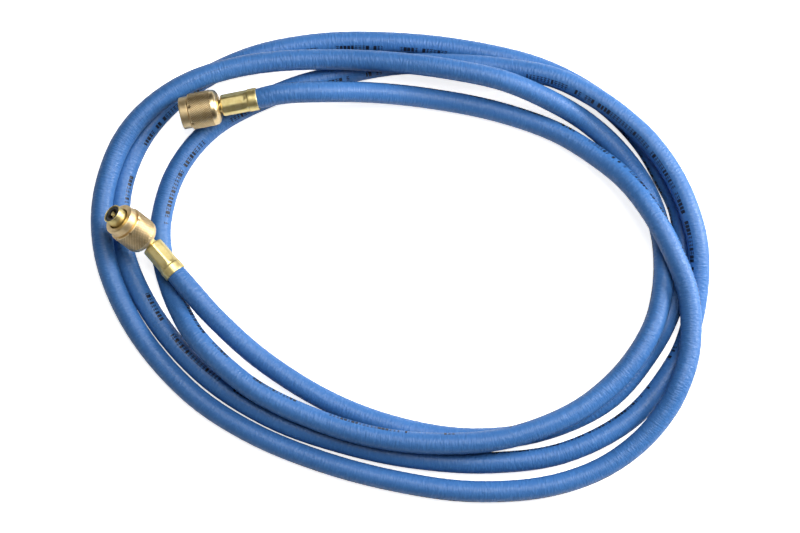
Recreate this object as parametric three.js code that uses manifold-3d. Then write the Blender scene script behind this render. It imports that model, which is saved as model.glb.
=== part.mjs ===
// Refrigerant charging hose, 10 ft long and loosely coiled: a blue rubber hose with a straight
// brass end and a 45 degree brass end, each with a crimped ferrule and a loose knurled nut.
// Units are millimetres, +Z is up, and the coil lies on z = 0 around the origin.
import * as THREE from 'three';
import { mergeVertices } from 'three/addons/utils/BufferGeometryUtils.js';
import Module from 'manifold-3d';

const library = await Module();
library.setup();

// Clearances
const SEAT_GAP = 0.3; // between two pieces that touch
const RUNNING_CLEARANCE = 0.35; // radial, between the nut and the neck it turns on
const HEAD_CLEARANCE = 0.6; // radial, between the stem's head and the crests of the nut's thread

// Hose
const HOSE_OD = 11.1;
const HOSE_SIDES = 12;
const HOSE_STEP_DIAMETERS = 1.5; // length of one straight step of the tube
const HOSE_STRAIGHT_END = 14; // straight length in front of each ferrule

// Stem: neck, head with its cup, and the bore through both
const NECK_OD = 6.4;
const BORE = 3.2;
const HEAD_OD = 10.4;
const HEAD_LENGTH = 9;
const HEAD_CHAMFER = 0.5;
const CUP_WALL = 0.6;
const CUP_DEPTH = 4.5;
const STEM_TAIL_INSET = 1.5; // the tail stops this far inside the ferrule's mouth
const ELBOW_BEND = 45; // degrees
const ELBOW_RADIUS = 6;

// Gasket and valve depressor in the cup
const GASKET_BORE = 5.8;
const GASKET_RECESS = 0.3; // below the rim of the cup
const DEPRESSOR_PIN = 1.6;
const DEPRESSOR_PIN_LENGTH = 3.4;
const DEPRESSOR_BAR_WIDTH = 1.4;
const DEPRESSOR_BAR_HEIGHT = 2.2;

// Ferrule: body with eight crimp flats and a round band at the hose
const FERRULE_LENGTH = 19.3;
const FERRULE_OD = 11.4;
const FERRULE_FLATS = 8;
const FERRULE_ACROSS_FLATS = 10.9;
const FERRULE_CHAMFER = 0.5;
const BAND_LENGTH = 4.7;
const BAND_PROUD = 0.45; // radial step from the hose to the band

// Nut: smooth collar, knurled barrel, rounded shoulder, threaded mouth
const NUT_OD = 19.2;
const NUT_LENGTH = 20.8;
const COLLAR_OD = 17;
const COLLAR_LENGTH = 5;
const SHOULDER_RADIUS = 3.6;
const NUT_EDGE = 0.6;
const NUT_BACK_WALL = 4;

// Where the nut stands on its neck
const STRAIGHT_NUT_GAP = 1.8; // from the ferrule to the nut's back
const ELBOW_TO_FERRULE = 2.8; // from the ferrule to the corner of the bend
const ELBOW_TO_NUT = 3.3; // from the corner of the bend to the nut's back
const STUB_OUT = 7; // the head stands this far out of the nut that is slid back

// Where the two ends lie: the middle of each ferrule's mouth, and the way it points in degrees
const STRAIGHT_END = { mouth: [-74.7, 83.6, 24.3], azimuth: 190, tilt: -5, roll: 0 };
const ELBOW_END = { mouth: [-116.2, -9.4, 19], azimuth: 131, tilt: 4, roll: -17 };

// The hose's route between its straight ends, as [x, y, height of the centre]
const HOSE_ROUTE = [
  // first turn, from the straight end: inside at the top, on top at the right, outermost below
  [-39.7, 87.6, 23.3], [-13.7, 89.7, 15], [16.3, 88.9, 7], [50.9, 82.4, 5.8], [83.4, 70.4, 7],
  [105.2, 54.9, 12], [119, 40.8, 18.4], [128.8, 26.1, 23.5], [136.3, 12.6, 24.7], [142.8, -1.4, 24],
  [149.3, -19.4, 21], [150.8, -37.9, 18.4], [149, -53.7, 17.4], [144.2, -67.6, 16.8], [137.9, -79.6, 13.8],
  [124.6, -95.2, 8.6], [104.1, -109.3, 5.9], [75.1, -118.8, 5.6], [35.8, -121.1, 5.6], [-2.7, -115.7, 5.6],
  [-41.2, -105.4, 5.6], [-77.7, -90.3, 5.6], [-108.9, -69.6, 5.7], [-137.4, -37, 7.6], [-153.5, -1.7, 12.1],
  [-156.4, 28.5, 14], [-149.6, 56.5, 15], [-140, 72.4, 16.6], [-126.4, 85.5, 17.3],
  // second turn: under the first at the right, innermost below and at the left
  [-110.7, 95, 17.9], [-90.4, 102.2, 17.4], [-66.6, 106.5, 16.8], [-34.7, 107.5, 17.1], [-2.7, 105, 20], [26.3, 100.3, 23],
  [55.7, 93.7, 22.9], [82.4, 83.9, 15.8], [101.1, 74.1, 9], [117.2, 59, 7], [130.8, 36.1, 11],
  [137.5, 14.1, 10.9], [138.4, -3.9, 12.9], [136.5, -19.9, 15.4], [132.4, -34.7, 16.6], [124.2, -49.8, 17.2],
  [111.3, -65.5, 17], [90.2, -81.7, 17], [56.5, -94.7, 17.4], [22.8, -97.9, 17.2], [-12.8, -94.3, 15.8],
  [-46.7, -83.7, 15.2], [-77.6, -68.1, 16.6], [-104.7, -43.3, 17.1], [-114.1, -28.3, 13],
  [-121.1, -12, 7.2], [-124.9, 2.1, 5.8],
  [-126.2, 21.3, 5.6], [-118.3, 49.7, 5.6],
  // third turn: under the straight end, then outermost at the right
  [-98.7, 74.1, 5.6], [-61.5, 93.7, 5.6], [-37.7, 101.1, 5.8], [-2.7, 107.6, 7.4], [26.8, 106.8, 11.4],
  [54.3, 104, 13.6], [82.8, 97.5, 16.6], [106.1, 84.8, 17.6], [121.7, 72.5, 17.4], [131.8, 62.2, 17.6],
  [143.7, 44.5, 17.4], [152, 23.7, 18.1], [156.1, 4, 16.6], [155.5, -19.8, 10.8], [151.3, -38.9, 6.2],
  [144.2, -54.2, 5.6],
  [121, -82.3, 5.6], [85.5, -101, 5.6], [46.8, -106.4, 5.6], [7.9, -104, 5.6], [-28.2, -96.5, 5.6],
  [-65.5, -83.4, 5.6], [-101.1, -60.7, 5.6], [-129.7, -28.1, 5.6], [-146, 7.5, 5.6], [-147.5, 38.6, 5.6],
  [-136.2, 69.6, 5.6],
  // last turn, lowest all the way round, then up to the elbow end
  [-112.7, 95.1, 5.6], [-80.6, 112.4, 5.6], [-43.2, 120.3, 5.6], [-5.2, 120.9, 5.6], [32.3, 117.1, 5.6],
  [70.4, 108.3, 5.6], [93.8, 97.6, 5.6], [114, 82.8, 5.6], [130.3, 64.1, 5.6], [140.3, 45.6, 5.6],
  [147.8, 28.6, 5.6], [149.8, 11.6, 5.6], [147.8, -5.9, 5.6], [142.3, -26.4, 5.6], [130.8, -47.9, 5.6],
  [108.2, -73.7, 5.6], [72.8, -89.9, 5.6], [36.3, -93.9, 5.6], [-0.2, -88.2, 5.6],
  [-36.2, -74.9, 6], [-72, -52.8, 9], [-96.5, -31.3, 14.2],
];

// Colours and finishes
const BLUE_RUBBER = { color: 0x3f72b5, roughness: 0.62, metalness: 0 };
const BRASS = { color: 0xc9ab6a, roughness: 0.34, metalness: 0.9 };
const YELLOW_BRASS = { color: 0xcdb766, roughness: 0.3, metalness: 0.9 };
const BLACK_RUBBER = { color: 0x151515, roughness: 0.75, metalness: 0 };

const ROUND_SIDES = 40;
const SMALL_ROUND_SIDES = 24;
const PIN_SIDES = 12;
const ARC_STEPS = 5;
const ELBOW_STEPS = 32; // along a bent neck

const rad = THREE.MathUtils.degToRad;

// A named mesh in its own material
function part(name, geometry, finish) {
  const mesh = new THREE.Mesh(geometry, new THREE.MeshStandardMaterial(finish));
  mesh.name = name;
  return mesh;
}

// Outline of a regular polygon that touches the circle from inside
function polygon(radius, sides) {
  const points = [];
  for (let i = 0; i < sides; i += 1) {
    const angle = (i * 2 * Math.PI) / sides;
    points.push(new THREE.Vector2(radius * Math.cos(angle), radius * Math.sin(angle)));
  }
  return points;
}

// A closed outline of [radius, height] pairs turned round the z axis
function turned(outline, sides) {
  const points = outline.map(([radius, height]) => new THREE.Vector2(radius, height));
  points.push(points[0].clone());
  return new THREE.LatheGeometry(points, sides).rotateX(Math.PI / 2);
}

// Points of a quarter round from one angle to another, in degrees, about a centre [radius, height]
function arc(centre, radius, from, to) {
  const points = [];
  for (let i = 0; i <= ARC_STEPS; i += 1) {
    const angle = rad(from + ((to - from) * i) / ARC_STEPS);
    points.push([centre[0] + radius * Math.cos(angle), centre[1] + radius * Math.sin(angle)]);
  }
  return points;
}

function toSolid(geometry) {
  const bare = geometry.clone();
  bare.deleteAttribute('normal');
  bare.deleteAttribute('uv');
  const merged = mergeVertices(bare);
  return new library.Manifold(new library.Mesh({
    numProp: 3,
    vertProperties: new Float32Array(merged.attributes.position.array),
    triVerts: new Uint32Array(merged.index.array),
  }));
}

function toGeometry(solid) {
  const mesh = solid.getMesh();
  const geometry = new THREE.BufferGeometry();
  geometry.setAttribute('position', new THREE.BufferAttribute(mesh.vertProperties, 3));
  geometry.setIndex(new THREE.BufferAttribute(mesh.triVerts, 1));
  geometry.computeVertexNormals();
  return geometry;
}

// A straight post that stands on z = base
function post(radius, base, height, sides) {
  const geometry = new THREE.CylinderGeometry(radius, radius, height, sides);
  return geometry.rotateX(Math.PI / 2).translate(0, 0, base + height / 2);
}

// Frame of one end: +Z runs out of the hose through the ferrule, from the middle of its mouth.
// The outer group gives the direction, and the inner one turns the end about its own axis.
function endFrame({ mouth, azimuth, tilt, roll }) {
  const frame = new THREE.Group();
  frame.position.set(...mouth);
  frame.rotation.set(0, Math.PI / 2 - rad(tilt), rad(azimuth), 'ZYX');
  const turn = new THREE.Group();
  turn.rotation.z = rad(roll);
  frame.add(turn);
  return { frame, turn };
}

// A point on the axis of one end, this far out of the ferrule's mouth and into the hose
function pointInHose(end, distance) {
  const { frame } = endFrame(end);
  frame.updateMatrixWorld();
  return new THREE.Vector3(0, 0, -distance).applyMatrix4(frame.matrixWorld);
}

function hose() {
  const middle = HOSE_ROUTE.map((point) => new THREE.Vector3(...point));
  const route = new THREE.CatmullRomCurve3([
    pointInHose(STRAIGHT_END, SEAT_GAP),
    pointInHose(STRAIGHT_END, HOSE_STRAIGHT_END),
    ...middle,
    pointInHose(ELBOW_END, HOSE_STRAIGHT_END),
    pointInHose(ELBOW_END, SEAT_GAP),
  ]);
  const section = new THREE.Shape(polygon(HOSE_OD / 2, HOSE_SIDES));
  const steps = Math.round(route.getLength() / (HOSE_STEP_DIAMETERS * HOSE_OD));
  return new THREE.ExtrudeGeometry(section, { steps, extrudePath: route, bevelEnabled: false });
}

// A turned sleeve round the neck, cut to crimp flats except at the band over the hose
function ferrule() {
  const bore = NECK_OD / 2 + SEAT_GAP;
  const round = FERRULE_OD / 2;
  const band = HOSE_OD / 2 + BAND_PROUD;
  const sleeve = turned([
    [bore, 0],
    [band, 0],
    [band, BAND_LENGTH],
    [round, BAND_LENGTH],
    [round, FERRULE_LENGTH - FERRULE_CHAMFER],
    [round - FERRULE_CHAMFER, FERRULE_LENGTH],
    [bore, FERRULE_LENGTH],
  ], SMALL_ROUND_SIDES);
  const corner = FERRULE_ACROSS_FLATS / 2 / Math.cos(Math.PI / FERRULE_FLATS);
  const flats = post(corner, 0, FERRULE_LENGTH, FERRULE_FLATS);
  const uncut = post(HOSE_OD, 0, BAND_LENGTH, FERRULE_FLATS);
  return toGeometry(toSolid(sleeve).intersect(toSolid(flats).add(toSolid(uncut))));
}

// Matrix from the frame of the ferrule to the frame of the nut: z = 0 at the nut's back
function nutFrame(bend) {
  const frame = new THREE.Group();
  frame.position.z = FERRULE_LENGTH + (bend ? ELBOW_TO_FERRULE : STRAIGHT_NUT_GAP);
  frame.rotation.y = -rad(bend);
  if (bend) {
    frame.translateZ(ELBOW_TO_NUT);
  }
  frame.updateMatrix();
  return frame;
}

// Height of the head's back over the nut's back
function headStart(bend) {
  return bend ? NUT_LENGTH + STUB_OUT - HEAD_LENGTH : NUT_BACK_WALL + SEAT_GAP;
}

// Line through the middle of the neck, from its tail in the ferrule to inside the head
function neckLine(bend) {
  const frame = nutFrame(bend);
  const tail = new THREE.Vector3(0, 0, STEM_TAIL_INSET);
  const end = new THREE.Vector3(0, 0, headStart(bend) + CUP_WALL).applyMatrix4(frame.matrix);
  if (!bend) {
    return new THREE.LineCurve3(tail, end);
  }
  const corner = new THREE.Vector3(0, 0, FERRULE_LENGTH + ELBOW_TO_FERRULE);
  const setBack = ELBOW_RADIUS * Math.tan(rad(bend) / 2);
  const before = corner.clone().add(new THREE.Vector3(0, 0, -setBack));
  const along = end.clone().sub(corner).normalize();
  const after = corner.clone().addScaledVector(along, setBack);
  const line = new THREE.CurvePath();
  line.add(new THREE.LineCurve3(tail, before));
  line.add(new THREE.QuadraticBezierCurve3(before, corner, after));
  line.add(new THREE.LineCurve3(after, end));
  return line;
}

function stem(bend) {
  const section = new THREE.Shape(polygon(NECK_OD / 2, SMALL_ROUND_SIDES));
  section.holes.push(new THREE.Path(polygon(BORE / 2, SMALL_ROUND_SIDES)));
  const neck = new THREE.ExtrudeGeometry(section, {
    steps: bend ? ELBOW_STEPS : 1,
    extrudePath: neckLine(bend),
    bevelEnabled: false,
  });
  const back = headStart(bend);
  const cup = HEAD_OD / 2 - CUP_WALL;
  const head = turned([
    [BORE / 2, back],
    [HEAD_OD / 2 - HEAD_CHAMFER, back],
    [HEAD_OD / 2, back + HEAD_CHAMFER],
    [HEAD_OD / 2, back + HEAD_LENGTH],
    [cup, back + HEAD_LENGTH],
    [cup, back + HEAD_LENGTH - CUP_DEPTH],
    [BORE / 2, back + HEAD_LENGTH - CUP_DEPTH],
  ], SMALL_ROUND_SIDES);
  head.applyMatrix4(nutFrame(bend).matrix);
  return toGeometry(toSolid(neck).add(toSolid(head)));
}

// Ring that stands on the floor of the cup, with its face just under the rim
function gasket(bend) {
  const floor = headStart(bend) + HEAD_LENGTH - CUP_DEPTH;
  const outer = HEAD_OD / 2 - CUP_WALL - SEAT_GAP / 2;
  return turned([
    [GASKET_BORE / 2, floor + SEAT_GAP],
    [outer, floor + SEAT_GAP],
    [outer, floor + CUP_DEPTH - GASKET_RECESS],
    [GASKET_BORE / 2, floor + CUP_DEPTH - GASKET_RECESS],
  ], SMALL_ROUND_SIDES);
}

// Cross bar that stands in the gasket on the floor of the cup, with a pin in its middle
function depressor(bend) {
  const floor = headStart(bend) + HEAD_LENGTH - CUP_DEPTH + SEAT_GAP;
  const bar = new THREE.BoxGeometry(GASKET_BORE - 2 * SEAT_GAP, DEPRESSOR_BAR_WIDTH, DEPRESSOR_BAR_HEIGHT);
  bar.translate(0, 0, floor + DEPRESSOR_BAR_HEIGHT / 2);
  const pin = post(DEPRESSOR_PIN / 2, floor, DEPRESSOR_PIN_LENGTH, PIN_SIDES);
  return toGeometry(toSolid(bar).add(toSolid(pin)));
}

function nut() {
  const outer = NUT_OD / 2;
  const collar = COLLAR_OD / 2;
  const barrelEnd = NUT_LENGTH - COLLAR_LENGTH;
  const neckBore = NECK_OD / 2 + RUNNING_CLEARANCE;
  const threadBore = HEAD_OD / 2 + HEAD_CLEARANCE;
  return turned([
    [neckBore, 0],
    ...arc([outer - SHOULDER_RADIUS, SHOULDER_RADIUS], SHOULDER_RADIUS, -90, 0),
    [outer, barrelEnd - NUT_EDGE],
    [outer - NUT_EDGE, barrelEnd],
    [collar, barrelEnd],
    [collar, NUT_LENGTH - NUT_EDGE],
    [collar - NUT_EDGE, NUT_LENGTH],
    [threadBore, NUT_LENGTH],
    [threadBore, NUT_BACK_WALL],
    [neckBore, NUT_BACK_WALL],
  ], ROUND_SIDES);
}

// All pieces of one end, the number telling the ends apart in the names
function hoseEnd(number, end, bend) {
  const { frame, turn } = endFrame(end);
  turn.add(part(`ferrule_${number}`, ferrule(), YELLOW_BRASS));
  turn.add(part(`stem_${number}`, stem(bend), YELLOW_BRASS));
  const head = nutFrame(bend);
  head.add(part(`gasket_${number}`, gasket(bend), BLACK_RUBBER));
  head.add(part(`depressor_${number}`, depressor(bend), YELLOW_BRASS));
  head.add(part(`nut_${number}`, nut(), BRASS));
  turn.add(head);
  return frame;
}

const chargingHose = new THREE.Group();
chargingHose.add(part('hose', hose(), BLUE_RUBBER));
chargingHose.add(hoseEnd(1, STRAIGHT_END, 0));
chargingHose.add(hoseEnd(2, ELBOW_END, ELBOW_BEND));

export default chargingHose;
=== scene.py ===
"""Looks of a refrigerant charging hose: a loose coil of blue rubber hose, with a straight and a
bent brass end. Each end has a crimped ferrule, a stem with a cupped head and a knurled nut.

Units are metres, +Z is up, and the coil lies on z = 0. The route of the hose and the sizes of
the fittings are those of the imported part, but the nuts sit a little further back on their necks.
In the formulas r is a radius, a an angle round an axis, and z or s a distance along it.
"""

import math

import bpy
import numpy as np
from mathutils import Matrix, Vector


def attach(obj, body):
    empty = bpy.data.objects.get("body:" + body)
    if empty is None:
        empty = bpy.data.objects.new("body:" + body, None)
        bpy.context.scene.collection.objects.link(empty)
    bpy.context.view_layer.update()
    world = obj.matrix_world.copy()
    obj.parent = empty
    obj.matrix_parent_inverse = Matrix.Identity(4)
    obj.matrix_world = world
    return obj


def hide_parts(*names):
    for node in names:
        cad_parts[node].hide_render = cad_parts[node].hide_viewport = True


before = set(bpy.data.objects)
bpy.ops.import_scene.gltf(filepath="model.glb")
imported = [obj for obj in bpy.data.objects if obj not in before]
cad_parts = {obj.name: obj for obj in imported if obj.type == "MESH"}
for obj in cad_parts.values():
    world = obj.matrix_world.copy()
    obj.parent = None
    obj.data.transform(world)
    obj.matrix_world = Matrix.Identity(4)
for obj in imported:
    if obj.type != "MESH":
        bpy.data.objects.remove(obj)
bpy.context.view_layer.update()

MM = 0.001

# Gaps between loose pieces
SEAT_GAP = 0.3 * MM
RUNNING_CLEARANCE = 0.35 * MM

# Hose
HOSE_RADIUS = 5.55 * MM
HOSE_SIDES = 32
HOSE_STEP = 1.12 * MM
HOSE_STRAIGHT_END = 14 * MM
HOSE_IN_FERRULE = 2.5 * MM
CRINKLE_DEPTH = 0.035 * MM
CRINKLE_WAVES = 14
CRINKLE_SHORTEST = 3.2 * MM
CRINKLE_LONGEST = 9 * MM
PINCH_DEPTH = 0.3 * MM
PINCH_LENGTH = 9 * MM
PUCKER_COUNT = 7
PUCKER_DEPTH = 0.075 * MM

# Print line: plain marks in groups along the hose. The shares are of a mark's pitch or height.
MARK_PITCH = 2.05 * MM
MARK_HEIGHT = 2.7 * MM
MARK_LEAST_HALF = 0.28
MARK_HALF_SPREAD = 0.18
MARKS_IN_GROUP = 4.3
GROUPS_LEFT_OUT = 0.22
MARKS_LEFT_OUT = 0.1
MARKS_FILLED = 0.45
HOLLOW_MIDDLE = 0.22
HOLLOW_HALF = 0.13
HOLLOW_BAR = 0.07

# Ferrule
FERRULE_LENGTH = 19.3 * MM
FERRULE_SIDES = 192
FERRULE_STEP = 0.45 * MM
BAND_LENGTH = 4.7 * MM
BAND_RADIUS = 6.0 * MM
BODY_RADIUS = 5.7 * MM
FLAT_RADIUS = 5.45 * MM
FERRULE_FLATS = 8
PRESS_START = BAND_LENGTH + 0.9 * MM
PRESS_ARCH = 1.6 * MM
PRESS_FADE = 1.0 * MM
PRESSED_BEYOND = HOSE_RADIUS - 0.4 * MM
RIDGE_HEIGHT = 0.12 * MM
RIDGE_ANGLE = 0.06
HOSE_STOP = 3 * MM

# Neck
NECK_RADIUS = 3.2 * MM
NECK_SIDES = 40
NECK_TAIL = 1.5 * MM
BORE_RADIUS = 1.6 * MM
ELBOW_BEND = math.radians(45)
ELBOW_SET_BACK = 2.5 * MM
ELBOW_TO_FERRULE = 2.8 * MM
ELBOW_TO_NUT = 2.4 * MM
STRAIGHT_NUT_GAP = 1.0 * MM

# Nut
NUT_RADIUS = 9.6 * MM
NUT_LENGTH = 20.8 * MM
NUT_BACK_RADIUS = 6.3 * MM
NUT_BACK_WALL = 4 * MM
SHOULDER = 3.6 * MM
SHOULDER_RISE = 1.4 * MM
SHOULDER_RADIUS = 9.0 * MM
COLLAR_RADIUS = 8.5 * MM
COLLAR_LENGTH = 5 * MM
THREAD_RADIUS = 5.8 * MM
GROOVE_RADIUS = 8.0 * MM
GROOVE_FALL = 0.25 * MM
GROOVE_WIDTH = 0.75 * MM
BARREL_END = NUT_LENGTH - COLLAR_LENGTH
KNURL_START = SHOULDER + 0.5 * MM
KNURL_END = BARREL_END - 0.45 * MM
KNURL_COUNT = 50
KNURL_DEPTH = 0.34 * MM
KNURL_ROWS = 9
KNURLED_BEYOND = NUT_RADIUS - 0.6 * MM
NOTCH_COUNT = 6
NOTCH_SIZE = 0.7 * MM
NOTCH_DEPTH = 0.5 * MM

# Head of the stem, gasket and depressor
HEAD_RADIUS = 5.2 * MM
HEAD_LENGTH = 9 * MM
HEAD_SIDES = 96
CUP_WALL = 0.6 * MM
CUP_DEPTH = 4.5 * MM
STUB_OUT = 5 * MM
GASKET_RADIUS = 4.45 * MM
GASKET_BORE = 2.9 * MM
GASKET_RECESS = 0.3 * MM
GASKET_GROOVE = 0.12 * MM
GASKET_SIDES = 72
PIN_RADIUS = 1.0 * MM
PIN_LENGTH = 3.9 * MM
PIN_EDGE = 0.3 * MM
BAR_LENGTH = 5.2 * MM
BAR_WIDTH = 1.6 * MM
BAR_HEIGHT = 3.1 * MM
BAR_EDGE = 0.15 * MM
DEPRESSOR_SIDES = 48

# Colours, as linear red, green and blue
HOSE_BLUE = (0.041, 0.149, 0.395)
HOSE_BLUE_DARK = (0.031, 0.122, 0.335)
# Painted sheen: the paler blue put on the crests of the hose's crinkles
HOSE_PAINTED_SHEEN = (0.10, 0.24, 0.50)
MARK_INK = (0.004, 0.009, 0.024)
NUT_BRASS = (0.82, 0.64, 0.36)
NUT_BRASS_DARK = (0.74, 0.55, 0.29)
# Painted shade: the dark brown put in the knurl's valleys and the notches of the nuts
NUT_VALLEY_SHADE = (0.12, 0.065, 0.02)
FERRULE_BRASS = (0.80, 0.67, 0.31)
FERRULE_BRASS_DARK = (0.70, 0.56, 0.23)

# Where the ends lie: the middle of each ferrule's mouth, and the way it points in degrees
STRAIGHT_END = {"mouth": (-0.0747, 0.0836, 0.0243), "azimuth": 190, "tilt": -5, "roll": 0}
BENT_END = {"mouth": (-0.1162, -0.0094, 0.0190), "azimuth": 131, "tilt": 4, "roll": -17}

# The hose's route between its straight ends, as (x, y, height of the centre)
HOSE_ROUTE = [
    # first turn, from the straight end: inside at the top, on top at the right, outermost below
    (-0.0397, 0.0876, 0.0233), (-0.0137, 0.0897, 0.0150), (0.0163, 0.0889, 0.0070),
    (0.0509, 0.0824, 0.0058), (0.0834, 0.0704, 0.0070), (0.1052, 0.0549, 0.0120),
    (0.1190, 0.0408, 0.0184), (0.1288, 0.0261, 0.0235), (0.1363, 0.0126, 0.0247),
    (0.1428, -0.0014, 0.0240), (0.1493, -0.0194, 0.0210), (0.1508, -0.0379, 0.0184),
    (0.1490, -0.0537, 0.0174), (0.1442, -0.0676, 0.0168), (0.1379, -0.0796, 0.0138),
    (0.1246, -0.0952, 0.0086), (0.1041, -0.1093, 0.0059), (0.0751, -0.1188, 0.0056),
    (0.0358, -0.1211, 0.0056), (-0.0027, -0.1157, 0.0056), (-0.0412, -0.1054, 0.0056),
    (-0.0777, -0.0903, 0.0056), (-0.1089, -0.0696, 0.0057), (-0.1374, -0.0370, 0.0076),
    (-0.1535, -0.0017, 0.0121), (-0.1564, 0.0285, 0.0140), (-0.1496, 0.0565, 0.0150),
    (-0.1400, 0.0724, 0.0166), (-0.1264, 0.0855, 0.0173),
    # second turn: under the first at the right, innermost below and at the left
    (-0.1107, 0.0950, 0.0179), (-0.0904, 0.1022, 0.0174), (-0.0666, 0.1065, 0.0168),
    (-0.0347, 0.1075, 0.0171), (-0.0027, 0.1050, 0.0200), (0.0263, 0.1003, 0.0230),
    (0.0557, 0.0937, 0.0229), (0.0824, 0.0839, 0.0158), (0.1011, 0.0741, 0.0090),
    (0.1172, 0.0590, 0.0070), (0.1308, 0.0361, 0.0110), (0.1375, 0.0141, 0.0109),
    (0.1384, -0.0039, 0.0129), (0.1365, -0.0199, 0.0154), (0.1324, -0.0347, 0.0166),
    (0.1242, -0.0498, 0.0172), (0.1113, -0.0655, 0.0170), (0.0902, -0.0817, 0.0170),
    (0.0565, -0.0947, 0.0174), (0.0228, -0.0979, 0.0172), (-0.0128, -0.0943, 0.0158),
    (-0.0467, -0.0837, 0.0152), (-0.0776, -0.0681, 0.0166), (-0.1047, -0.0433, 0.0171),
    (-0.1141, -0.0283, 0.0130), (-0.1211, -0.0120, 0.0072), (-0.1249, 0.0021, 0.0058),
    (-0.1262, 0.0213, 0.0056), (-0.1183, 0.0497, 0.0056),
    # third turn: under the straight end, then outermost at the right
    (-0.0987, 0.0741, 0.0056), (-0.0615, 0.0937, 0.0056), (-0.0377, 0.1011, 0.0058),
    (-0.0027, 0.1076, 0.0074), (0.0268, 0.1068, 0.0114), (0.0543, 0.1040, 0.0136),
    (0.0828, 0.0975, 0.0166), (0.1061, 0.0848, 0.0176), (0.1217, 0.0725, 0.0174),
    (0.1318, 0.0622, 0.0176), (0.1437, 0.0445, 0.0174), (0.1520, 0.0237, 0.0181),
    (0.1561, 0.0040, 0.0166), (0.1555, -0.0198, 0.0108), (0.1513, -0.0389, 0.0062),
    (0.1442, -0.0542, 0.0056), (0.1210, -0.0823, 0.0056), (0.0855, -0.1010, 0.0056),
    (0.0468, -0.1064, 0.0056), (0.0079, -0.1040, 0.0056), (-0.0282, -0.0965, 0.0056),
    (-0.0655, -0.0834, 0.0056), (-0.1011, -0.0607, 0.0056), (-0.1297, -0.0281, 0.0056),
    (-0.1460, 0.0075, 0.0056), (-0.1475, 0.0386, 0.0056), (-0.1362, 0.0696, 0.0056),
    # last turn, lowest all the way round, then up to the elbow end
    (-0.1127, 0.0951, 0.0056), (-0.0806, 0.1124, 0.0056), (-0.0432, 0.1203, 0.0056),
    (-0.0052, 0.1209, 0.0056), (0.0323, 0.1171, 0.0056), (0.0704, 0.1083, 0.0056),
    (0.0938, 0.0976, 0.0056), (0.1140, 0.0828, 0.0056), (0.1303, 0.0641, 0.0056),
    (0.1403, 0.0456, 0.0056), (0.1478, 0.0286, 0.0056), (0.1498, 0.0116, 0.0056),
    (0.1478, -0.0059, 0.0056), (0.1423, -0.0264, 0.0056), (0.1308, -0.0479, 0.0056),
    (0.1082, -0.0737, 0.0056), (0.0728, -0.0899, 0.0056), (0.0363, -0.0939, 0.0056),
    (-0.0002, -0.0882, 0.0056), (-0.0362, -0.0749, 0.0060), (-0.0720, -0.0528, 0.0090),
    (-0.0965, -0.0313, 0.0142),
]

# The print line's place round the hose, in degrees towards the outside of the coil from straight
# up, at distances along the hose in metres
PRINT_LINE = [
    (0.00, 75), (0.12, 60), (0.20, 45), (0.26, 70), (0.32, 85), (0.56, 88), (0.70, 120),
    (0.90, 200), (1.04, 262), (1.12, 272), (1.22, 276), (1.30, 300), (1.46, 300), (1.50, 322),
    (1.66, 310), (1.80, 315), (1.95, 305), (2.05, 292), (2.15, 310), (2.24, 340), (2.30, 312),
    (2.42, 305), (2.55, 305), (2.66, 285), (2.80, 275), (3.08, 272),
]

# Camera
CAMERA_TARGET = Vector((0.0003, -0.0029, 0.006))
CAMERA_ELEVATION = math.radians(78)
CAMERA_DISTANCE = 1.05
CAMERA_LENS = 89.7
CAMERA_SENSOR = 36

# Lights, as (place, size, watts): a key from the right, a wide top light and a weak fill
LIGHTS = {
    "key": ((1.0, 0.3, 0.45), 0.5, 19),
    "top": ((0.3, 0.22, 1.3), 0.8, 17),
    "fill": ((-1.0, -0.6, 1.0), 1.0, 2),
}
FLOOR_HALF = 3.0
FLOOR_GLOW = 0.82
ROOM_DARK = 0.1
ROOM_BRIGHT = 0.5
ROOM_SHINE = 1.4


# Curves and meshes


def end_matrix(end):
    """Place of one end: +Z runs out of the hose through the ferrule, from the middle of its mouth."""
    return (
        Matrix.Translation(end["mouth"])
        @ Matrix.Rotation(math.radians(end["azimuth"]), 4, "Z")
        @ Matrix.Rotation(math.pi / 2 - math.radians(end["tilt"]), 4, "Y")
        @ Matrix.Rotation(math.radians(end["roll"]), 4, "Z")
    )


def nut_matrix(end, bent):
    """Place of the nut on one end: z = 0 at the nut's back, +Z towards its mouth."""
    if not bent:
        return end_matrix(end) @ Matrix.Translation((0, 0, FERRULE_LENGTH + STRAIGHT_NUT_GAP))
    corner = Matrix.Translation((0, 0, FERRULE_LENGTH + ELBOW_TO_FERRULE))
    turn = Matrix.Rotation(-ELBOW_BEND, 4, "Y")
    return end_matrix(end) @ corner @ turn @ Matrix.Translation((0, 0, ELBOW_TO_NUT))


def head_start(bent):
    """Height of the head's back over the nut's back."""
    return NUT_LENGTH + STUB_OUT - HEAD_LENGTH if bent else NUT_BACK_WALL + SEAT_GAP


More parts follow.
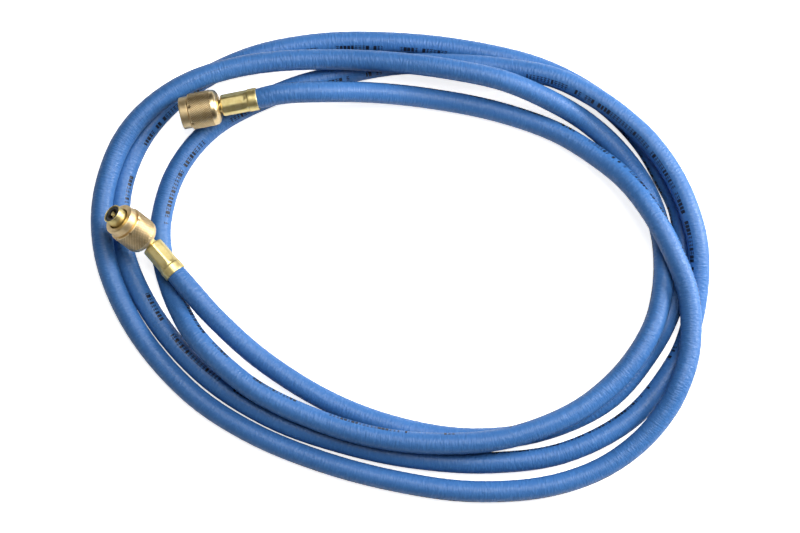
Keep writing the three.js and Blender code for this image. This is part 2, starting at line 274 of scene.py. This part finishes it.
def smooth_curve(points, step, span_steps=40):
    """A centripetal Catmull-Rom curve through the points, as points a step apart.

    On each span, with knots t that grow by the square root of the distance between points, the
    position is the Hermite cubic h00 p1 + h10 m1 + h01 p2 + h11 m2, where m1 and m2 are the
    non-uniform slopes at both ends times the span's knot length.
    """
    points = np.array(points, float)
    before = 2 * points[0] - points[1]
    after = 2 * points[-1] - points[-2]
    padded = np.vstack([before, points, after])
    u = np.linspace(0, 1, span_steps + 1)[:-1, None]
    spans = []
    for p0, p1, p2, p3 in zip(padded, padded[1:], padded[2:], padded[3:]):
        d0, d1, d2 = (math.sqrt(np.linalg.norm(b - a)) for a, b in ((p0, p1), (p1, p2), (p2, p3)))
        m1 = ((p1 - p0) / d0 - (p2 - p0) / (d0 + d1) + (p2 - p1) / d1) * d1
        m2 = ((p2 - p1) / d1 - (p3 - p1) / (d1 + d2) + (p3 - p2) / d2) * d1
        spans.append(
            (2 * u**3 - 3 * u**2 + 1) * p1
            + (u**3 - 2 * u**2 + u) * m1
            + (3 * u**2 - 2 * u**3) * p2
            + (u**3 - u**2) * m2
        )
    dense = np.vstack([*spans, points[-1:]])
    travelled = np.concatenate([[0], np.cumsum(np.linalg.norm(np.diff(dense, axis=0), axis=1))])
    count = int(round(travelled[-1] / step)) + 1
    even = np.linspace(0, travelled[-1], count)
    line = np.stack([np.interp(even, travelled, dense[:, k]) for k in range(3)], axis=1)
    return line, even


def side_vectors(line):
    """Unit vectors across a line, level and upward: side = tangent x Z, and up = side x tangent."""
    tangent = np.gradient(line, axis=0)
    tangent /= np.linalg.norm(tangent, axis=1)[:, None]
    side = np.cross(tangent, (0, 0, 1))
    side /= np.linalg.norm(side, axis=1)[:, None]
    return side, np.cross(side, tangent)


def grid_mesh(name, grid, closed_rows=True, capped=False):
    """A mesh from an array of rows of points. Each row is closed, and so are the rows unless capped.

    The faces are turned so that the volume, the sum of a . (b x c) / 6 over all triangles, is
    positive: then the normals point outward.
    """
    rows, columns = grid.shape[:2]
    points = grid.reshape(-1, 3)
    i = np.arange(rows if closed_rows else rows - 1)[:, None]
    j = np.arange(columns)[None, :]
    i2, j2 = (i + 1) % rows, (j + 1) % columns
    corners = [i * columns + j, i * columns + j2, i2 * columns + j2, i2 * columns + j]
    quads = np.stack([np.broadcast_to(c, (len(i), columns)).ravel() for c in corners], axis=1)
    a, b, c, d = (points[quads[:, k]] for k in range(4))
    volume = np.einsum("ij,ij->", a, np.cross(b, c)) + np.einsum("ij,ij->", a, np.cross(c, d))
    faces = quads.tolist()
    if capped:
        faces += [list(range(columns - 1, -1, -1)), list(range((rows - 1) * columns, rows * columns))]
    if volume < 0:
        faces = [face[::-1] for face in faces]
    mesh = bpy.data.meshes.new(name)
    mesh.from_pydata(points.tolist(), [], faces)
    mesh.polygons.foreach_set("use_smooth", np.ones(len(mesh.polygons), bool))
    mesh.update()
    piece = bpy.data.objects.new(name, mesh)
    bpy.context.scene.collection.objects.link(piece)
    return piece


def filleted(outline, steps=5):
    """A closed outline of (radius, height, fillet) corners as points, each corner rounded by its fillet.

    The round is the parabola (1-t)^2 p + 2 t (1-t) q + t^2 r from a fillet before the corner q to
    a fillet after it.
    """
    corners = np.array([c[:2] for c in outline], float)
    points = []
    for k, (r, z, fillet) in enumerate(outline):
        corner = np.array((r, z))
        if fillet == 0:
            points.append(corner)
            continue
        to_last = corners[k - 1] - corner
        to_next = corners[(k + 1) % len(corners)] - corner
        before = corner + to_last * min(0.5, fillet / np.linalg.norm(to_last))
        after = corner + to_next * min(0.5, fillet / np.linalg.norm(to_next))
        for t in np.linspace(0, 1, steps):
            points.append((1 - t) ** 2 * before + 2 * t * (1 - t) * corner + t**2 * after)
    return np.array(points)


def split(points, longest, tolerance=1e-9):
    """The closed outline with every stretch cut into pieces no longer than the longest."""
    out = []
    for a, b in zip(points, np.roll(points, -1, axis=0)):
        count = max(1, math.ceil(np.linalg.norm(b - a) / longest - tolerance))
        out += [a + (b - a) * k / count for k in range(count)]
    return np.array(out)


def turned_grid(outline, sides):
    """Points of an outline turned round Z: (r cos a, r sin a, z)."""
    angle = np.arange(sides) * 2 * math.pi / sides
    r = outline[:, 0][:, None]
    z = np.broadcast_to(outline[:, 1][:, None], (len(outline), sides))
    return np.stack([r * np.cos(angle), r * np.sin(angle), z], axis=2), angle


def placed(piece, matrix, body, material, node):
    """The piece moved to its place in its mesh, in its material, riding on a body, in a node's stead."""
    piece.data.transform(matrix)
    piece.data.update()
    piece.data.materials.append(material)
    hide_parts(node)
    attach(piece, body)
    return piece


def attribute(piece, name, kind, values):
    """A value for each point of a piece, for its material to read."""
    layer = piece.data.attributes.new(name, kind, "POINT")
    field = "vector" if kind == "FLOAT_VECTOR" else "value"
    layer.data.foreach_set(field, values.astype(np.float32).ravel())


# The hose


def hose_line():
    """The middle line of the hose, from inside one ferrule to inside the other."""

    def into(end, distance):
        return tuple(end_matrix(end) @ Vector((0, 0, -distance)))

    points = [
        into(STRAIGHT_END, -HOSE_IN_FERRULE),
        into(STRAIGHT_END, HOSE_STRAIGHT_END),
        *HOSE_ROUTE,
        into(BENT_END, HOSE_STRAIGHT_END),
        into(BENT_END, -HOSE_IN_FERRULE),
    ]
    return smooth_curve(points, HOSE_STEP)


def crinkles(along, angle):
    """Uneven cross ridges: a sum of waves sin(k s + m a + p), scaled to about -1 to 1."""
    rng = np.random.default_rng(11)
    total = np.zeros((len(along), len(angle)))
    for wave in rng.uniform(CRINKLE_SHORTEST, CRINKLE_LONGEST, CRINKLE_WAVES):
        turns = rng.integers(-2, 3)
        total += np.sin(2 * math.pi * along[:, None] / wave + turns * angle + rng.uniform(0, 7))
    return total / 5


def make_hose(material):
    """A tube r(s, a) = radius + crinkle depth x crinkles, drawn in and puckered at both ferrules."""
    line, along = hose_line()
    side, up = side_vectors(line)
    angle = np.arange(HOSE_SIDES) * 2 * math.pi / HOSE_SIDES
    waves = crinkles(along, angle)
    from_end = np.minimum(along, along[-1] - along) - HOSE_IN_FERRULE
    free = np.maximum(from_end, 0)[:, None]
    pinch = np.exp(-free / (PINCH_LENGTH / 3))
    pucker = np.cos(PUCKER_COUNT * angle) * np.exp(-free / (PINCH_LENGTH / 2))
    radius = HOSE_RADIUS + CRINKLE_DEPTH * waves - PINCH_DEPTH * pinch + PUCKER_DEPTH * pucker
    radius[from_end < 0] = HOSE_RADIUS - PINCH_DEPTH
    c, s = np.cos(angle), np.sin(angle)
    across = c[None, :, None] * up[:, None, :] - s[None, :, None] * side[:, None, :]
    grid = line[:, None, :] + radius[:, :, None] * across
    piece = grid_mesh("hose_skin", grid, closed_rows=False, capped=True)
    straight = [HOSE_RADIUS * c, HOSE_RADIUS * s, along[:, None]]
    straight = np.stack([np.broadcast_to(part, radius.shape) for part in straight], axis=2)
    attribute(piece, "straightened", "FLOAT_VECTOR", straight)
    where, degrees = np.array(PRINT_LINE).T
    middle = np.radians(np.interp(along, where, degrees))
    off = (angle[None, :] - middle[:, None] + math.pi) % (2 * math.pi) - math.pi
    attribute(piece, "from_print", "FLOAT", off * HOSE_RADIUS)
    placed(piece, Matrix.Identity(4), "hose_with_ends", material, "hose")
    return piece, line


# The brass ends


def make_ferrule(number, matrix, material):
    """A turned sleeve, pressed to flats: r = min(r, flat / cos(a from the middle of the flat)).

    The press fades over a short arch before the band at the hose, and leaves a low ridge at each
    corner between two flats.
    """
    inner = NECK_RADIUS + SEAT_GAP
    mouth = HOSE_RADIUS - 0.5 * PINCH_DEPTH
    outline = filleted(
        [
            (mouth, 0.0, 0.2 * MM),
            (BAND_RADIUS, 0.0, 0.35 * MM),
            (BAND_RADIUS, BAND_LENGTH, 0.3 * MM),
            (BODY_RADIUS, BAND_LENGTH + 0.35 * MM, 0.3 * MM),
            (BODY_RADIUS, FERRULE_LENGTH, 1.1 * MM),
            (inner, FERRULE_LENGTH, 0.2 * MM),
            (inner, HOSE_STOP, 0),
            (mouth, HOSE_STOP, 0),
        ]
    )
    outline = split(outline, FERRULE_STEP)
    grid, angle = turned_grid(outline, FERRULE_SIDES)
    sector = 2 * math.pi / FERRULE_FLATS
    off_flat = (angle + sector / 2) % sector - sector / 2
    z = outline[:, 1][:, None]
    arch = PRESS_START + PRESS_ARCH * (off_flat / (sector / 2)) ** 2
    pressed = np.clip((z - arch) / PRESS_FADE, 0, 1)
    pressed = pressed * pressed * (3 - 2 * pressed)
    r = np.broadcast_to(outline[:, 0][:, None], pressed.shape)
    flat = FLAT_RADIUS / np.cos(off_flat)
    ridge = RIDGE_HEIGHT * np.exp(-(((np.abs(off_flat) - sector / 2) / RIDGE_ANGLE) ** 2))
    lowered = np.minimum(r, flat + ridge)
    shaped = np.where(r > PRESSED_BEYOND, r + (lowered - r) * pressed, r)
    grid *= np.dstack([shaped / r, shaped / r, np.ones_like(r)])
    piece = grid_mesh(f"ferrule_{number}_skin", grid)
    return placed(piece, matrix, "hose_with_ends", material, f"ferrule_{number}")


def neck_line(bent):
    """The middle line of the neck in the ferrule's frame, from its tail to inside the head."""
    tail = Vector((0, 0, NECK_TAIL))
    if not bent:
        end = FERRULE_LENGTH + STRAIGHT_NUT_GAP + head_start(False) + CUP_WALL
        return smooth_curve([tail, (tail + Vector((0, 0, end))) / 2, Vector((0, 0, end))], 1 * MM)[0]
    corner = Vector((0, 0, FERRULE_LENGTH + ELBOW_TO_FERRULE))
    way = Vector((-math.sin(ELBOW_BEND), 0, math.cos(ELBOW_BEND)))
    reach = ELBOW_TO_NUT + head_start(True) + CUP_WALL
    before = corner - Vector((0, 0, ELBOW_SET_BACK))
    after = corner + way * ELBOW_SET_BACK
    share = (0, 0.25, 0.5, 0.75, 1)
    bend = [(1 - t) ** 2 * before + 2 * t * (1 - t) * corner + t**2 * after for t in share]
    return smooth_curve([tail, (tail + before) / 2, *bend, corner + way * reach], 0.5 * MM)[0]


def make_stem(number, bent, ferrule_place, nut_place, material):
    """A tube bent along the neck's line, and a turned head with a cup in its end."""
    line = neck_line(bent)
    tangent = np.gradient(line, axis=0)
    tangent /= np.linalg.norm(tangent, axis=1)[:, None]
    across = np.broadcast_to(np.array((0.0, 1.0, 0.0)), line.shape)
    up = np.cross(tangent, across)
    angle = np.arange(NECK_SIDES) * 2 * math.pi / NECK_SIDES
    c, s = np.cos(angle), np.sin(angle)
    rim = c[None, :, None] * up[:, None, :] + s[None, :, None] * across[:, None, :]
    outer = line[:, None, :] + NECK_RADIUS * rim
    inner = line[:, None, :] + BORE_RADIUS * rim
    neck = grid_mesh(f"neck_{number}", np.concatenate([outer, inner[::-1]]))
    placed(neck, ferrule_place, "hose_with_ends", material, f"stem_{number}")

    back = head_start(bent)
    front = back + HEAD_LENGTH
    cup = HEAD_RADIUS - CUP_WALL
    outline = filleted(
        [
            (BORE_RADIUS, back, 0),
            (HEAD_RADIUS, back, 0.5 * MM),
            (HEAD_RADIUS, front, 0.25 * MM),
            (cup, front, 0.2 * MM),
            (cup, front - CUP_DEPTH, 0.1 * MM),
            (BORE_RADIUS, front - CUP_DEPTH, 0.3 * MM),
        ]
    )
    grid, _ = turned_grid(outline, HEAD_SIDES)
    head = grid_mesh(f"head_{number}", grid)
    placed(head, nut_place, "hose_with_ends", material, f"stem_{number}")


def make_gasket(number, bent, place, material):
    """A ring turned from an outline with rounded corners, with a low groove round its face."""
    floor = head_start(bent) + HEAD_LENGTH - CUP_DEPTH
    face = floor + CUP_DEPTH - GASKET_RECESS
    middle = (GASKET_RADIUS + GASKET_BORE) / 2
    outline = filleted(
        [
            (GASKET_BORE, floor + SEAT_GAP, 0.1 * MM),
            (GASKET_RADIUS, floor + SEAT_GAP, 0.1 * MM),
            (GASKET_RADIUS, face, 0.35 * MM),
            (middle, face - GASKET_GROOVE, 0.3 * MM),
            (GASKET_BORE, face, 0.45 * MM),
        ]
    )
    grid, _ = turned_grid(outline, GASKET_SIDES)
    piece = grid_mesh(f"gasket_{number}_skin", grid)
    placed(piece, place, "hose_with_ends", material, f"gasket_{number}")


def make_depressor(number, bent, place, material):
    """A pin on a cross bar: the bar's outline is |x / a|^6 + |y / b|^6 = 1."""
    floor = head_start(bent) + HEAD_LENGTH - CUP_DEPTH + SEAT_GAP
    angle = np.arange(DEPRESSOR_SIDES) * 2 * math.pi / DEPRESSOR_SIDES
    c, s = np.cos(angle), np.sin(angle)
    reach = (np.abs(c / (BAR_LENGTH / 2)) ** 6 + np.abs(s / (BAR_WIDTH / 2)) ** 6) ** (-1 / 6)
    pin_round = np.full_like(reach, PIN_RADIUS)
    kinds = (("bar", reach, BAR_HEIGHT, BAR_EDGE), ("pin", pin_round, PIN_LENGTH, PIN_EDGE))
    for kind, r, height, edge in kinds:
        rows = [(floor, r), (floor + height - edge, r), (floor + height, r - edge)]
        grid = np.array([np.stack([r * c, r * s, np.full_like(r, z)], axis=1) for z, r in rows])
        piece = grid_mesh(f"depressor_{kind}_{number}", grid, closed_rows=False, capped=True)
        piece.data.polygons.foreach_set("use_smooth", np.zeros(len(piece.data.polygons), bool))
        placed(piece, place, "hose_with_ends", material, f"depressor_{number}")


def make_nut(number, place, body, material):
    """A turned nut with a diamond knurl round its barrel and notches at its collar.

    The knurl raises r by depth x (1 - max(|2 f(p) - 1|, |2 f(q) - 1|)), where f is the fraction
    part of p = n a / 2 pi + z / pitch and of q = n a / 2 pi - z / pitch. A notch lowers r by
    depth x exp(-(d / size)^2) at the distance d from its middle.
    """
    neck = NECK_RADIUS + RUNNING_CLEARANCE
    top = NUT_RADIUS - KNURL_DEPTH / 2
    outline = filleted(
        [
            (neck, 0.0, 0.3 * MM),
            (NUT_BACK_RADIUS, 0.0, 0.5 * MM),
            (SHOULDER_RADIUS, SHOULDER_RISE, 1.6 * MM),
            (top, SHOULDER, 0.7 * MM),
            (top, BARREL_END, 0.35 * MM),
            (GROOVE_RADIUS, BARREL_END + GROOVE_FALL, 0.15 * MM),
            (COLLAR_RADIUS, BARREL_END + GROOVE_WIDTH, 0.2 * MM),
            (COLLAR_RADIUS, NUT_LENGTH, 0.7 * MM),
            (THREAD_RADIUS, NUT_LENGTH, 0.5 * MM),
            (THREAD_RADIUS, NUT_BACK_WALL, 0),
            (neck, NUT_BACK_WALL, 0),
        ],
        steps=8,
    )
    quarter = (KNURL_END - KNURL_START) / KNURL_ROWS / 4
    outline = split(outline, quarter)
    grid, angle = turned_grid(outline, KNURL_COUNT * 4)
    z = outline[:, 1][:, None]
    r = np.broadcast_to(outline[:, 0][:, None], grid.shape[:2])
    row = (z - KNURL_START) / (4 * quarter)
    turn = KNURL_COUNT * angle[None, :] / (2 * math.pi)
    p, q = (turn + row) % 1, (turn - row) % 1
    diamond = 1 - np.maximum(np.abs(2 * p - 1), np.abs(2 * q - 1))
    on_barrel = (r > KNURLED_BEYOND) & (z > KNURL_START) & (z < KNURL_END)
    sector = 2 * math.pi / NOTCH_COUNT
    sideways = ((angle[None, :] + sector / 2) % sector - sector / 2) * NUT_RADIUS
    notch = np.exp(-(sideways**2 + (z - KNURL_END) ** 2) / NOTCH_SIZE**2) * (r > COLLAR_RADIUS)
    shaped = r + np.where(on_barrel, (diamond - 0.5) * KNURL_DEPTH, 0) - NOTCH_DEPTH * notch
    grid *= np.dstack([shaped / r, shaped / r, np.ones_like(r)])
    piece = grid_mesh(f"nut_{number}_skin", grid)
    # The knurl value is low in the knurl's valleys and in the notches, where the brass gets painted
    # shade
    plain = np.where(z < KNURL_START, 1.0, 0.8)
    attribute(piece, "knurl", "FLOAT", np.where(on_barrel, 0.8 * diamond, plain) * (1 - notch))
    placed(piece, place, body, material, f"nut_{number}")


# Materials


def new_material(name):
    """An empty material with its shader, and short helpers to add and join nodes."""
    material = bpy.data.materials.new(name)
    material.use_nodes = True
    nodes = material.node_tree.nodes
    shader = nodes["Principled BSDF"]

    def node(kind, **settings):
        made = nodes.new(kind)
        for key, value in settings.items():
            if key in made.inputs:
                made.inputs[key].default_value = value
            else:
                setattr(made, key, value)
        return made

    return material, shader, node, material.node_tree.links.new


def ramp(node, link, source, stops):
    """A colour ramp after a socket, with (position, grey or colour) stops."""
    made = node("ShaderNodeValToRGB")
    elements = made.color_ramp.elements
    while len(elements) < len(stops):
        elements.new(0.5)
    for element, (position, colour) in zip(elements, stops):
        element.position = position
        element.color = (*colour, 1) if isinstance(colour, tuple) else (colour, colour, colour, 1)
    link(source, made.inputs["Fac"])
    return made.outputs["Color"]


def calculate(node, link, operation, *values):
    """The result of a maths node on sockets and numbers."""
    made = node("ShaderNodeMath", operation=operation)
    for socket, value in zip(made.inputs, values):
        if isinstance(value, (int, float)):
            socket.default_value = value
        else:
            link(value, socket)
    return made.outputs["Value"]


def noise(node, link, place, scale, detail=2.0, stretch=None):
    """Soft noise at a place socket, whose axes are stretched first if asked."""
    if stretch is not None:
        moved = node("ShaderNodeMapping")
        moved.inputs["Scale"].default_value = stretch
        link(place, moved.inputs["Vector"])
        place = moved.outputs["Vector"]
    made = node("ShaderNodeTexNoise")
    made.inputs["Scale"].default_value = scale
    made.inputs["Detail"].default_value = detail
    link(place, made.inputs["Vector"])
    return made.outputs["Fac"]


def tinted(node, link, factor, under, colour):
    """A colour socket mixed towards a colour by a factor socket."""
    made = node("ShaderNodeMix", data_type="RGBA")
    made.inputs["B"].default_value = (*colour, 1)
    link(factor, made.inputs["Factor"])
    link(under, made.inputs["A"])
    return made.outputs["Result"]


def raised(node, link, height, strength, distance, over=None):
    """The normals of a surface raised by a height socket, over another such surface if given."""
    made = node("ShaderNodeBump")
    made.inputs["Strength"].default_value = strength
    made.inputs["Distance"].default_value = distance
    link(height, made.inputs["Height"])
    if over is not None:
        link(over, made.inputs["Normal"])
    return made.outputs["Normal"]


def print_marks(node, link, along):
    """1 on the dark marks of the print line, and 0 elsewhere.

    The hose is cut into cells of one pitch. A random number for each cell sets the mark's width,
    and another opens hollows in it. A third, for each group of cells, leaves out whole groups.
    """

    def maths(operation, *values):
        return calculate(node, link, operation, *values)

    def random(value):
        made = node("ShaderNodeTexWhiteNoise", noise_dimensions="1D")
        link(value, made.inputs["W"])
        return made.outputs["Value"]

    cells = maths("DIVIDE", along, MARK_PITCH)
    cell = maths("FLOOR", cells)
    sideways = maths("ABSOLUTE", maths("SUBTRACT", maths("SUBTRACT", cells, cell), 0.5))
    off = node("ShaderNodeAttribute", attribute_name="from_print").outputs["Fac"]
    height = maths("ABSOLUTE", off)
    chance = random(cell)
    group = maths("FLOOR", maths("DIVIDE", cells, MARKS_IN_GROUP))
    mark = maths("LESS_THAN", sideways, maths("MULTIPLY_ADD", chance, MARK_HALF_SPREAD, MARK_LEAST_HALF))
    limits = (
        maths("LESS_THAN", height, MARK_HEIGHT / 2),
        maths("GREATER_THAN", random(group), GROUPS_LEFT_OUT),
        maths("GREATER_THAN", chance, MARKS_LEFT_OUT),
    )
    for limit in limits:
        mark = maths("MULTIPLY", mark, limit)
    from_hollow = maths("ABSOLUTE", maths("SUBTRACT", height, MARK_HEIGHT * HOLLOW_MIDDLE))
    hollow = maths("LESS_THAN", from_hollow, MARK_HEIGHT * HOLLOW_HALF)
    other_chance = random(maths("ADD", cell, 0.5))
    hollow = maths("MULTIPLY", hollow, maths("GREATER_THAN", other_chance, MARKS_FILLED))
    hollow = maths("MULTIPLY", hollow, maths("GREATER_THAN", sideways, HOLLOW_BAR))
    return maths("MULTIPLY", mark, maths("SUBTRACT", 1.0, hollow))


def blue_rubber():
    """Matte blue rubber with fine cross crinkles, painted sheen on their crests, a pebbled skin and a
    row of small printed marks.
    """
    material, shader, node, link = new_material("blue_rubber")
    straight = node("ShaderNodeAttribute", attribute_name="straightened").outputs["Vector"]
    parts = node("ShaderNodeSeparateXYZ")
    link(straight, parts.inputs[0])
    crinkle = noise(node, link, straight, 330, 3.0, stretch=(1, 1, 3.2))
    pebble = noise(node, link, straight, 1500, 2.0, stretch=(1, 1, 1.4))
    patches = noise(node, link, straight, 60, 3.0, stretch=(1, 1, 0.4))
    colour = ramp(node, link, patches, [(0.3, HOSE_BLUE_DARK), (0.7, HOSE_BLUE)])
    # Painted sheen: the crinkle crests tinted towards a paler blue
    painted_sheen = ramp(node, link, crinkle, [(0.5, 0.0), (0.75, 0.3)])
    colour = tinted(node, link, painted_sheen, colour, HOSE_PAINTED_SHEEN)
    marks = print_marks(node, link, parts.outputs["Z"])
    link(tinted(node, link, marks, colour, MARK_INK), shader.inputs["Base Color"])
    rough = ramp(node, link, crinkle, [(0.3, 0.52), (0.7, 0.38)])
    link(rough, shader.inputs["Roughness"])
    shader.inputs["Specular IOR Level"].default_value = 0.42
    fine = raised(node, link, pebble, 0.5, 0.08 * MM)
    coarse = raised(node, link, crinkle, 1.0, 0.4 * MM, over=fine)
    link(coarse, shader.inputs["Normal"])
    return material


def brass(name, colour, dark, roughness, knurled):
    """Worn brass: uneven tint and polish with fine scratches, and painted shade in the valleys and
    notches of a knurl.
    """
    material, shader, node, link = new_material(name)
    place = node("ShaderNodeTexCoord").outputs["Object"]
    shader.inputs["Metallic"].default_value = 1.0
    tint = ramp(node, link, noise(node, link, place, 420, 4.0), [(0.35, dark), (0.6, colour)])
    wear = noise(node, link, place, 900, 4.0)
    rough = ramp(node, link, wear, [(0.3, roughness), (0.75, roughness + 0.12)])
    if knurled:
        knurl = node("ShaderNodeAttribute", attribute_name="knurl").outputs["Fac"]
        # Painted shade: the knurl's valleys and the notches darkened towards dark brown
        painted_shade = ramp(node, link, knurl, [(0.0, 0.9), (0.5, 0.0)])
        tint = tinted(node, link, painted_shade, tint, NUT_VALLEY_SHADE)
        polish = ramp(node, link, knurl, [(0.84, 1.0), (0.96, 0.7)])
        rough = calculate(node, link, "MULTIPLY", rough, polish)
    link(tint, shader.inputs["Base Color"])
    link(rough, shader.inputs["Roughness"])
    scratches = noise(node, link, place, 2600, 4.0)
    link(raised(node, link, scratches, 0.25, 0.03 * MM), shader.inputs["Normal"])
    return material


def black_rubber():
    """Dull black rubber with a faint grain and paler worn spots."""
    material, shader, node, link = new_material("black_rubber")
    grain = noise(node, link, node("ShaderNodeTexCoord").outputs["Object"], 1800)
    link(ramp(node, link, grain, [(0.4, 0.010), (0.75, 0.035)]), shader.inputs["Base Color"])
    shader.inputs["Roughness"].default_value = 0.5
    link(raised(node, link, grain, 0.3, 0.02 * MM), shader.inputs["Normal"])
    return material


def floor_material():
    """White paper with a very faint mottling, lit from below for the camera so its shadows stay pale."""
    material, shader, node, link = new_material("white_floor")
    mottle = noise(node, link, node("ShaderNodeTexCoord").outputs["Object"], 14)
    link(ramp(node, link, mottle, [(0.3, 0.90), (0.7, 0.93)]), shader.inputs["Base Color"])
    shader.inputs["Roughness"].default_value = 0.9
    shader.inputs["Specular IOR Level"].default_value = 0.1
    shader.inputs["Emission Color"].default_value = (1, 1, 1, 1)
    seen = node("ShaderNodeLightPath").outputs["Is Camera Ray"]
    link(calculate(node, link, "MULTIPLY", seen, FLOOR_GLOW), shader.inputs["Emission Strength"])
    return material


# Stage


def make_floor():
    """A wide square of paper on z = 0."""
    mesh = bpy.data.meshes.new("floor")
    corners = [(x * FLOOR_HALF, y * FLOOR_HALF, 0) for x, y in ((-1, -1), (1, -1), (1, 1), (-1, 1))]
    mesh.from_pydata(corners, [], [(0, 1, 2, 3)])
    mesh.materials.append(floor_material())
    floor = bpy.data.objects.new("floor", mesh)
    bpy.context.scene.collection.objects.link(floor)


def soft_light(name, position, size, watts):
    """A square area light that faces the middle of the coil."""
    light = bpy.data.lights.new(name, "AREA")
    light.size = size
    light.energy = watts
    lamp = bpy.data.objects.new(name, light)
    lamp.location = position
    lamp.rotation_euler = (-Vector(position)).to_track_quat("-Z", "Y").to_euler()
    bpy.context.scene.collection.objects.link(lamp)


def make_light():
    """The lights, in a room that darkens to the left and shines more in what mirrors it."""
    for name, (position, size, watts) in LIGHTS.items():
        soft_light(name, position, size, watts)
    world = bpy.data.worlds.new("studio")
    world.use_nodes = True
    nodes, link = world.node_tree.nodes, world.node_tree.links.new
    way = nodes.new("ShaderNodeSeparateXYZ")
    link(nodes.new("ShaderNodeTexCoord").outputs["Generated"], way.inputs[0])
    spread = nodes.new("ShaderNodeMapRange")
    spread.inputs["From Min"].default_value = -1
    spread.inputs["To Min"].default_value = ROOM_DARK
    spread.inputs["To Max"].default_value = ROOM_BRIGHT
    link(way.outputs["X"], spread.inputs["Value"])
    glossy = nodes.new("ShaderNodeMath")
    glossy.operation = "MULTIPLY_ADD"
    glossy.inputs[1].default_value = ROOM_SHINE
    glossy.inputs[2].default_value = 1
    link(nodes.new("ShaderNodeLightPath").outputs["Is Glossy Ray"], glossy.inputs[0])
    strength = nodes.new("ShaderNodeMath")
    strength.operation = "MULTIPLY"
    link(glossy.outputs["Value"], strength.inputs[0])
    link(spread.outputs["Result"], strength.inputs[1])
    link(strength.outputs["Value"], nodes["Background"].inputs["Strength"])
    bpy.context.scene.world = world
    bpy.context.scene.view_settings.view_transform = "Standard"


def make_camera():
    """The camera, straight in front of the coil and high over it, as in the photograph."""
    camera = bpy.data.objects.new("camera", bpy.data.cameras.new("camera"))
    back = Vector((0, -math.cos(CAMERA_ELEVATION), math.sin(CAMERA_ELEVATION)))
    camera.location = CAMERA_TARGET + back * CAMERA_DISTANCE
    camera.rotation_euler = (-back).to_track_quat("-Z", "Y").to_euler()
    camera.data.lens = CAMERA_LENS
    camera.data.sensor_width = CAMERA_SENSOR
    bpy.context.scene.collection.objects.link(camera)
    bpy.context.scene.camera = camera


make_camera()
hose, middle_line = make_hose(blue_rubber())
SATIN = brass("satin_brass", NUT_BRASS, NUT_BRASS_DARK, 0.40, knurled=True)
BRIGHT = brass("bright_brass", FERRULE_BRASS, FERRULE_BRASS_DARK, 0.38, knurled=False)
BLACK = black_rubber()
for number, end, bent in ((1, STRAIGHT_END, False), (2, BENT_END, True)):
    make_ferrule(number, end_matrix(end), BRIGHT)
    make_stem(number, bent, end_matrix(end), nut_matrix(end, bent), BRIGHT)
    make_gasket(number, bent, nut_matrix(end, bent), BLACK)
    make_nut(number, nut_matrix(end, bent), "bent_end_nut" if bent else "straight_end_nut", SATIN)
    make_depressor(number, bent, nut_matrix(end, bent), BRIGHT)

make_floor()
make_light()
